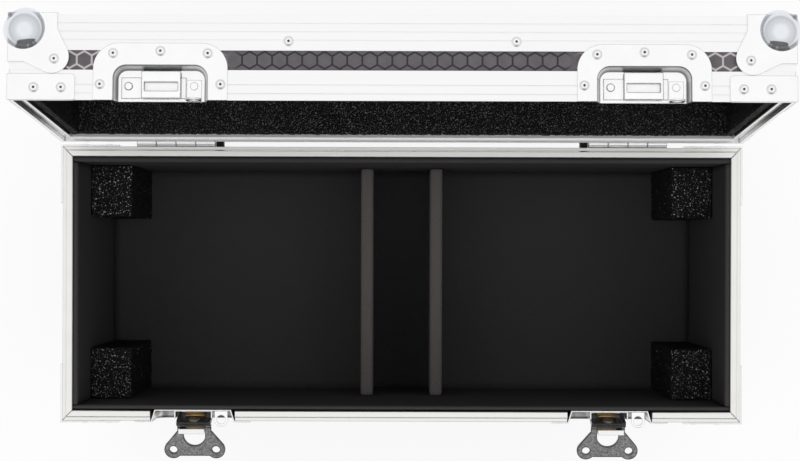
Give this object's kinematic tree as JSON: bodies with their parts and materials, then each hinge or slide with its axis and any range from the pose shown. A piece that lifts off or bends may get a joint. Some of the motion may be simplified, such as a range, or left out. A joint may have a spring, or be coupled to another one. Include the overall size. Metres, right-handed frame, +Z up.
{
  "type": "flight case",
  "caption": "Aluminium-edged flight case with its lid hinged open, recessed butterfly latches, ball corners, end handles and a foam-lined, divided interior.",
  "frame": {"origin": "centre of the base's footprint, on the standing plane", "axes": "+X to the right of the latched front, +Y to the hinged back, +Z up"},
  "size_m": [0.6704, 0.4075, 0.5323],
  "materials": {
    "laminate": "patterned dark grey laminate on plywood",
    "smooth_foam": "smooth charcoal foam",
    "rough_foam": "open-cell black foam",
    "aluminium_profile": "satin anodised",
    "plated_steel": "bright zinc plate",
    "pin_steel": "plain bright steel",
    "wing_zinc": "dull grey cast zinc",
    "black_steel": "black coat",
    "spring_steel": "brown tempered steel",
    "black_nylon": "satin",
    "grip_rubber": "matte",
    "rivet": "polished"
  },
  "bodies": {
    "base": {"base_front_panel": "laminate", "base_back_panel": "laminate", "base_left_panel": "laminate", "base_right_panel": "laminate", "base_floor_panel": "laminate", "base_wall_liners": "smooth_foam", "base_floor_liner": "smooth_foam", "left_divider": "smooth_foam", "right_divider": "smooth_foam", "corner_foam_blocks": "rough_foam", "base_bottom_edging": "aluminium_profile", "base_corner_edging": "aluminium_profile", "base_closing_frame": "aluminium_profile", "base_ball_corners": "plated_steel", "base_corner_braces": "plated_steel", "base_latch_dishes": "plated_steel", "latch_brackets": "plated_steel", "latch_pivot_pins": "pin_steel", "left_latch_spring": "spring_steel", "right_latch_spring": "spring_steel", "base_padlock_eyes": "plated_steel", "base_hinge_leaves": "plated_steel", "hinge_pins": "pin_steel", "lid_stop_blocks": "black_nylon", "left_handle_dish": "plated_steel", "left_handle_ears": "plated_steel", "right_handle_dish": "plated_steel", "right_handle_ears": "plated_steel", "base_rivets": "rivet"},
    "lid": {"lid_front_panel": "laminate", "lid_back_panel": "laminate", "lid_left_panel": "laminate", "lid_right_panel": "laminate", "lid_top_panel": "laminate", "lid_wall_liners": "rough_foam", "lid_top_liner": "rough_foam", "lid_top_edging": "aluminium_profile", "lid_corner_edging": "aluminium_profile", "lid_closing_frame": "aluminium_profile", "lid_ball_corners": "plated_steel", "lid_corner_braces": "plated_steel", "lid_latch_dishes": "plated_steel", "keepers": "plated_steel", "lid_padlock_eyes": "plated_steel", "lid_hinge_leaves": "plated_steel", "lid_rivets": "rivet"},
    "left_arm": {"left_latch_arm": "black_steel"},
    "left_hook": {"left_latch_hook": "plated_steel"},
    "left_spindle": {"left_latch_spindle": "pin_steel", "left_wing_pin": "pin_steel"},
    "left_wing": {"left_latch_wing": "wing_zinc"},
    "right_arm": {"right_latch_arm": "black_steel"},
    "right_hook": {"right_latch_hook": "plated_steel"},
    "right_spindle": {"right_latch_spindle": "pin_steel", "right_wing_pin": "pin_steel"},
    "right_wing": {"right_latch_wing": "wing_zinc"},
    "left_handle": {"left_handle_bail": "plated_steel", "left_handle_grip": "grip_rubber"},
    "right_handle": {"right_handle_bail": "plated_steel", "right_handle_grip": "grip_rubber"}
  },
  "joints": [
    {"name": "lid_hinge", "type": "hinge", "parent": "base", "child": "lid", "pos_m": [0, 0.1365, 0.2587], "axis": [1, 0, 0], "range_deg": [0, 94.5]},
    {"name": "left_arm_swing", "type": "hinge", "parent": "base", "child": "left_arm", "pos_m": [-0.2015, -0.1272, 0.2187], "axis": [-1, 0, 0], "range_deg": [0, 15.5], "stiffness_Nm_per_rad": 0.05, "springref_deg": -17.19, "deforming": ["left_latch_spring"]},
    {"name": "left_wing_turn", "type": "hinge", "parent": "left_arm", "child": "left_spindle", "pos_m": [-0.2015, -0.13415, 0.24375], "axis": [0, -0.9636, -0.2672], "range_deg": [0, 180]},
    {"name": "left_hook_slide", "type": "slide", "parent": "left_arm", "child": "left_hook", "axis": [0, 0.2672, -0.9636], "range_m": [0, 0.005]},
    {"name": "left_wing_fold", "type": "hinge", "parent": "left_spindle", "child": "left_wing", "pos_m": [-0.2015, -0.13916, 0.24236], "axis": [-1, 0, 0], "range_deg": [0, 90]},
    {"name": "right_arm_swing", "type": "hinge", "parent": "base", "child": "right_arm", "pos_m": [0.2015, -0.1272, 0.2187], "axis": [-1, 0, 0], "range_deg": [0, 15.5], "stiffness_Nm_per_rad": 0.05, "springref_deg": -17.19, "deforming": ["right_latch_spring"]},
    {"name": "right_wing_turn", "type": "hinge", "parent": "right_arm", "child": "right_spindle", "pos_m": [0.2015, -0.13415, 0.24375], "axis": [0, -0.9636, -0.2672], "range_deg": [0, 180]},
    {"name": "right_hook_slide", "type": "slide", "parent": "right_arm", "child": "right_hook", "axis": [0, 0.2672, -0.9636], "range_m": [0, 0.005]},
    {"name": "right_wing_fold", "type": "hinge", "parent": "right_spindle", "child": "right_wing", "pos_m": [0.2015, -0.13916, 0.24236], "axis": [-1, 0, 0], "range_deg": [0, 90]},
    {"name": "left_handle_swing", "type": "hinge", "parent": "base", "child": "left_handle", "pos_m": [-0.3221, 0, 0.1627], "axis": [0, 1, 0], "range_deg": [0, 90]},
    {"name": "right_handle_swing", "type": "hinge", "parent": "base", "child": "right_handle", "pos_m": [0.3221, 0, 0.1627], "axis": [0, -1, 0], "range_deg": [0, 90]}
  ],
  "couplings": [
    {"joint": "left_hook_slide", "follows": "left_wing_turn", "m_per_rad": 0.0015915},
    {"joint": "right_hook_slide", "follows": "right_wing_turn", "m_per_rad": 0.0015915}
  ]
}
